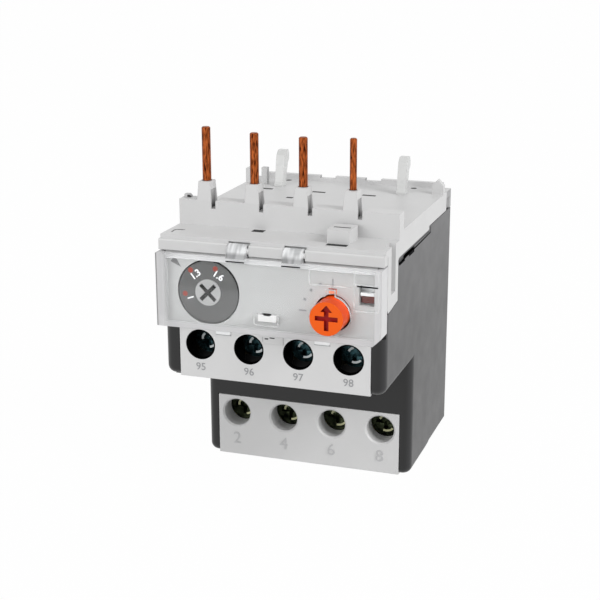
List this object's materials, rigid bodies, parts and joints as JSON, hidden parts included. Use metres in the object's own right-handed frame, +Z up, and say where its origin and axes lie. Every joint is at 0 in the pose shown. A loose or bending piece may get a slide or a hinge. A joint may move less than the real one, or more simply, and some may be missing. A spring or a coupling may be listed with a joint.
{
  "type": "thermal overload relay",
  "caption": "Plug-in thermal overload relay: stepped dark casing, light top tray with copper pins and hooks, screw terminals, setting dial, reset button and hinged clear cover.",
  "frame": {"origin": "middle of the outline in plan, at the height of the foot", "axes": "+X to the right across the front, +Y from the front to the back, +Z up towards the pins"},
  "size_m": [0.045, 0.0582, 0.0726],
  "materials": {
    "dark_casing": "fine spark texture",
    "light_cover": "fine spark texture",
    "light_panel": "fine spark texture",
    "clear_cover": "polished, clear",
    "hook_nylon": "natural nylon",
    "copper": "drawn copper, slightly oxidised",
    "terminal_brass": "tin plated",
    "zinc_steel": "blue passivated zinc",
    "heater_ribbon": "resistance alloy",
    "bimetal": "rolled",
    "slider_plastic": "phenolic",
    "lever_plastic": "moulded",
    "spring_steel": "drawn wire",
    "dial_grey": "moulded",
    "button_orange": "moulded",
    "flag_red": "moulded"
  },
  "bodies": {
    "casing": {"base_casing": "dark_casing", "aux_terminal_block": "dark_casing", "main_terminal_block": "dark_casing", "aux_terminal_panel": "light_panel", "main_terminal_panel": "light_panel", "top_cover": "light_cover", "front_cover": "light_cover", "mounting_hook_left": "hook_nylon", "mounting_hook_right": "hook_nylon", "coil_pin": "copper", "reset_spring": "spring_steel", "trip_spring": "spring_steel", "line_pin_1": "copper", "line_pin_2": "copper", "line_pin_3": "copper", "bimetal_1": "bimetal", "bimetal_2": "bimetal", "bimetal_3": "bimetal", "heater_winding_1": "heater_ribbon", "heater_winding_2": "heater_ribbon", "heater_winding_3": "heater_ribbon", "main_bar_1": "terminal_brass", "main_bar_2": "terminal_brass", "main_bar_3": "terminal_brass", "main_bar_4": "terminal_brass", "aux_plate_1": "terminal_brass", "aux_plate_2": "terminal_brass", "aux_plate_3": "terminal_brass", "aux_plate_4": "terminal_brass"},
    "clear_cover": {"clear_cover": "clear_cover"},
    "dial": {"setting_dial": "dial_grey", "setting_cam": "lever_plastic"},
    "setting_link": {"setting_link": "lever_plastic"},
    "trip_lever": {"trip_lever": "lever_plastic", "compensating_strip": "bimetal"},
    "main_slider": {"main_slider": "slider_plastic"},
    "differential_slider": {"differential_slider": "slider_plastic"},
    "differential_lever": {"differential_lever": "lever_plastic"},
    "contact_carrier": {"contact_carrier": "lever_plastic", "break_bridge": "terminal_brass", "make_bridge": "terminal_brass", "trip_flag": "flag_red"},
    "reset_plunger": {"reset_plunger": "lever_plastic"},
    "reset_button": {"reset_button": "button_orange"},
    "main_clamp_1": {"main_clamp_1": "zinc_steel"},
    "main_screw_1": {"main_screw_1": "zinc_steel"},
    "main_clamp_2": {"main_clamp_2": "zinc_steel"},
    "main_screw_2": {"main_screw_2": "zinc_steel"},
    "main_clamp_3": {"main_clamp_3": "zinc_steel"},
    "main_screw_3": {"main_screw_3": "zinc_steel"},
    "main_clamp_4": {"main_clamp_4": "zinc_steel"},
    "main_screw_4": {"main_screw_4": "zinc_steel"},
    "aux_clamp_1": {"aux_clamp_1": "zinc_steel"},
    "aux_screw_1": {"aux_screw_1": "zinc_steel"},
    "aux_clamp_2": {"aux_clamp_2": "zinc_steel"},
    "aux_screw_2": {"aux_screw_2": "zinc_steel"},
    "aux_clamp_3": {"aux_clamp_3": "zinc_steel"},
    "aux_screw_3": {"aux_screw_3": "zinc_steel"},
    "aux_clamp_4": {"aux_clamp_4": "zinc_steel"},
    "aux_screw_4": {"aux_screw_4": "zinc_steel"}
  },
  "joints": [
    {"name": "cover_hinge", "type": "hinge", "parent": "casing", "child": "clear_cover", "pos_m": [0, -0.0248, 0.0514], "axis": [-1, 0, 0], "range_deg": [0, 105]},
    {"name": "dial_turn", "type": "hinge", "parent": "casing", "child": "dial", "pos_m": [-0.0124, -0.0239, 0.0427], "axis": [0, 1, 0], "range_deg": [-63, 56]},
    {"name": "link_slide", "type": "slide", "parent": "casing", "child": "setting_link", "axis": [1, 0, 0], "range_m": [-0.00066, 0.00059]},
    {"name": "main_slide", "type": "slide", "parent": "casing", "child": "main_slider", "axis": [1, 0, 0], "range_m": [0, 0.0025], "deforming": ["bimetal_1", "bimetal_2", "bimetal_3"]},
    {"name": "differential_slide", "type": "slide", "parent": "main_slider", "child": "differential_slider", "axis": [1, 0, 0], "range_m": [-0.0012, 0]},
    {"name": "differential_turn", "type": "hinge", "parent": "main_slider", "child": "differential_lever", "pos_m": [0.009, 0.0103, 0.0438], "axis": [0, 0, 1], "range_deg": [0, 9.55]},
    {"name": "trip_turn", "type": "hinge", "parent": "setting_link", "child": "trip_lever", "pos_m": [0.0138, -0.0019, 0.04365], "axis": [0, 0, -1], "range_deg": [0, 19.4]},
    {"name": "carrier_slide", "type": "slide", "parent": "casing", "child": "contact_carrier", "axis": [0, 0, 1], "range_m": [0, 0.0015], "deforming": ["trip_spring"]},
    {"name": "reset_press", "type": "slide", "parent": "casing", "child": "reset_plunger", "axis": [0, 1, 0], "range_m": [0, 0.0021], "stiffness_N_per_m": 400, "springref_m": -0.001, "deforming": ["reset_spring"]},
    {"name": "reset_turn", "type": "hinge", "parent": "reset_plunger", "child": "reset_button", "pos_m": [0.0126, -0.0291, 0.04095], "axis": [0, -1, 0], "range_deg": [0, 90]},
    {"name": "main_clamp_1_slide", "type": "slide", "parent": "casing", "child": "main_clamp_1", "axis": [0, -1, 0], "range_m": [0, 0.0022]},
    {"name": "main_screw_1_turn", "type": "hinge", "parent": "main_clamp_1", "child": "main_screw_1", "pos_m": [-0.0158, 0.0047, 0.0095], "axis": [0, -1, 0], "range_deg": [0, 1134.4]},
    {"name": "main_clamp_2_slide", "type": "slide", "parent": "casing", "child": "main_clamp_2", "axis": [0, -1, 0], "range_m": [0, 0.0022]},
    {"name": "main_screw_2_turn", "type": "hinge", "parent": "main_clamp_2", "child": "main_screw_2", "pos_m": [-0.0052, 0.0047, 0.0095], "axis": [0, -1, 0], "range_deg": [0, 1134.4]},
    {"name": "main_clamp_3_slide", "type": "slide", "parent": "casing", "child": "main_clamp_3", "axis": [0, -1, 0], "range_m": [0, 0.0022]},
    {"name": "main_screw_3_turn", "type": "hinge", "parent": "main_clamp_3", "child": "main_screw_3", "pos_m": [0.0054, 0.0047, 0.0095], "axis": [0, -1, 0], "range_deg": [0, 1134.4]},
    {"name": "main_clamp_4_slide", "type": "slide", "parent": "casing", "child": "main_clamp_4", "axis": [0, -1, 0], "range_m": [0, 0.0022]},
    {"name": "main_screw_4_turn", "type": "hinge", "parent": "main_clamp_4", "child": "main_screw_4", "pos_m": [0.016, 0.0047, 0.0095], "axis": [0, -1, 0], "range_deg": [0, 1134.4]},
    {"name": "aux_clamp_1_slide", "type": "slide", "parent": "casing", "child": "aux_clamp_1", "axis": [0, -1, 0], "range_m": [0, 0.0022]},
    {"name": "aux_screw_1_turn", "type": "hinge", "parent": "aux_clamp_1", "child": "aux_screw_1", "pos_m": [-0.0148, -0.0177, 0.0316], "axis": [0, -1, 0], "range_deg": [0, 1323]},
    {"name": "aux_clamp_2_slide", "type": "slide", "parent": "casing", "child": "aux_clamp_2", "axis": [0, -1, 0], "range_m": [0, 0.0022]},
    {"name": "aux_screw_2_turn", "type": "hinge", "parent": "aux_clamp_2", "child": "aux_screw_2", "pos_m": [-0.00473, -0.0177, 0.0316], "axis": [0, -1, 0], "range_deg": [0, 1323]},
    {"name": "aux_clamp_3_slide", "type": "slide", "parent": "casing", "child": "aux_clamp_3", "axis": [0, -1, 0], "range_m": [0, 0.0022]},
    {"name": "aux_screw_3_turn", "type": "hinge", "parent": "aux_clamp_3", "child": "aux_screw_3", "pos_m": [0.00533, -0.0177, 0.0316], "axis": [0, -1, 0], "range_deg": [0, 1323]},
    {"name": "aux_clamp_4_slide", "type": "slide", "parent": "casing", "child": "aux_clamp_4", "axis": [0, -1, 0], "range_m": [0, 0.0022]},
    {"name": "aux_screw_4_turn", "type": "hinge", "parent": "aux_clamp_4", "child": "aux_screw_4", "pos_m": [0.0154, -0.0177, 0.0316], "axis": [0, -1, 0], "range_deg": [0, 1323]}
  ],
  "couplings": [
    {"joint": "dial_turn", "follows": "link_slide", "rad_per_m": 1666.7},
    {"joint": "differential_turn", "follows": "differential_slide", "rad_per_m": -131.58},
    {"joint": "trip_turn", "follows": "main_slide", "rad_per_m": 133.33},
    {"joint": "main_screw_1_turn", "follows": "main_clamp_1_slide", "rad_per_m": 8976},
    {"joint": "main_screw_2_turn", "follows": "main_clamp_2_slide", "rad_per_m": 8976},
    {"joint": "main_screw_3_turn", "follows": "main_clamp_3_slide", "rad_per_m": 8976},
    {"joint": "main_screw_4_turn", "follows": "main_clamp_4_slide", "rad_per_m": 8976},
    {"joint": "aux_screw_1_turn", "follows": "aux_clamp_1_slide", "rad_per_m": 10472},
    {"joint": "aux_screw_2_turn", "follows": "aux_clamp_2_slide", "rad_per_m": 10472},
    {"joint": "aux_screw_3_turn", "follows": "aux_clamp_3_slide", "rad_per_m": 10472},
    {"joint": "aux_screw_4_turn", "follows": "aux_clamp_4_slide", "rad_per_m": 10472}
  ]
}
